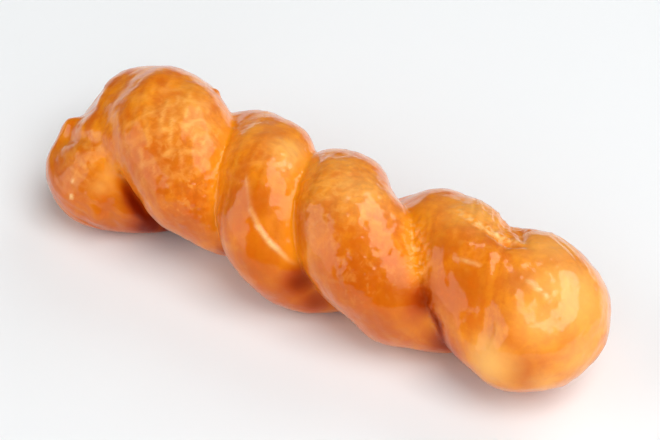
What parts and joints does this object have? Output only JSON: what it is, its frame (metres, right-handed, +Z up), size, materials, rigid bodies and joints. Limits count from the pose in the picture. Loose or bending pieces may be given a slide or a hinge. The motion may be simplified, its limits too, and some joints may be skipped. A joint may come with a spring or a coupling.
{
  "type": "twist doughnut",
  "caption": "Fried twist doughnut in clear glaze: a ring of dough doubled and twisted round itself, with a rounded loop at each end.",
  "frame": {"origin": "on the surface that the doughnut rests on, under the middle of its box", "axes": "+X along the twist, towards the end that is nearer in the picture; -Y towards the front; +Z up"},
  "size_m": [0.1744, 0.0568, 0.0435],
  "materials": {
    "dough": "fried golden brown dough, glossy under a thin clear sugar glaze"
  },
  "bodies": {
    "root": {"twist": "dough"}
  },
  "joints": []
}
